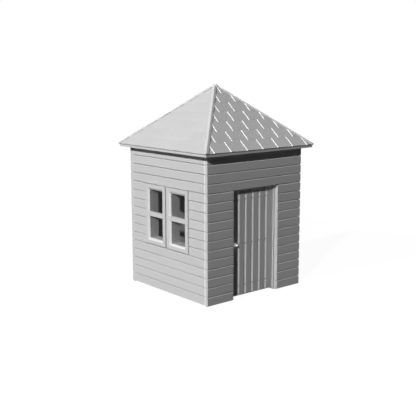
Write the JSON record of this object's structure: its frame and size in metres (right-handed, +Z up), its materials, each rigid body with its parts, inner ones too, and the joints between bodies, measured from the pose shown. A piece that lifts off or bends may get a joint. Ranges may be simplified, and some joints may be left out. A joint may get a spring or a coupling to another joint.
{
  "type": "security guard booth",
  "caption": "Square timber guard hut with horizontal board walls, a boarded door on hinges, paired side windows and a pyramid roof of flat tiles.",
  "frame": {"origin": "centre of the square footprint, on the ground", "axes": "+Z up; the front wall with the door faces -Y; +X to the right when facing +Y from the front"},
  "size_m": [2.61, 2.61, 3.795],
  "materials": {
    "painted_boards": "satin pale grey paint on planed timber boards",
    "painted_trim": "satin pale grey paint on planed timber",
    "painted_lining": "matt pale grey paint on timber lining",
    "floor_boards": "worn matt grey floor paint on timber",
    "roof_tiles": "matt pale grey coated timber shingles",
    "window_glass": "clear float glass",
    "knob_metal": "satin nickel plate",
    "hinge_steel": "zinc plated steel"
  },
  "bodies": {
    "booth": {"floor_deck": "floor_boards", "front_wall_left": "painted_lining", "front_wall_right": "painted_lining", "front_wall_header": "painted_lining", "left_wall_below": "painted_lining", "left_wall_above": "painted_lining", "left_wall_posts": "painted_lining", "right_wall_below": "painted_lining", "right_wall_above": "painted_lining", "right_wall_posts": "painted_lining", "back_wall": "painted_lining", "front_cladding_left": "painted_boards", "front_cladding_right": "painted_boards", "front_cladding_header": "painted_boards", "left_cladding": "painted_boards", "right_cladding": "painted_boards", "back_cladding": "painted_boards", "door_jamb_left": "painted_trim", "door_jamb_right": "painted_trim", "door_head": "painted_trim", "hinge_frame_plates": "hinge_steel", "hinge_pins": "hinge_steel", "left_window_casings": "painted_trim", "left_window_rails": "painted_trim", "left_window_glass": "window_glass", "right_window_casings": "painted_trim", "right_window_rails": "painted_trim", "right_window_glass": "window_glass", "ceiling": "painted_lining", "soffit_front_back": "painted_lining", "soffit_sides": "painted_lining", "fascia_front_back": "painted_trim", "fascia_sides": "painted_trim", "roof_front": "roof_tiles", "roof_back": "roof_tiles", "roof_left": "roof_tiles", "roof_right": "roof_tiles", "hip_caps": "roof_tiles", "apex_cap": "roof_tiles"},
    "door": {"door_leaf": "painted_boards", "door_ledges": "painted_lining", "door_braces": "painted_lining", "knob_roses": "knob_metal", "hinge_door_plates": "hinge_steel"},
    "knob": {"door_knob": "knob_metal"}
  },
  "joints": [
    {"name": "door_hinge", "type": "hinge", "parent": "booth", "child": "door", "pos_m": [0.523, -0.986, 1.01], "axis": [0, 0, -1], "range_deg": [0, 95]},
    {"name": "knob_turn", "type": "hinge", "parent": "door", "child": "knob", "pos_m": [-0.415, -1.038, 0.988], "axis": [0, 1, 0], "range_deg": [-45, 45], "stiffness_Nm_per_rad": 0.6}
  ]
}
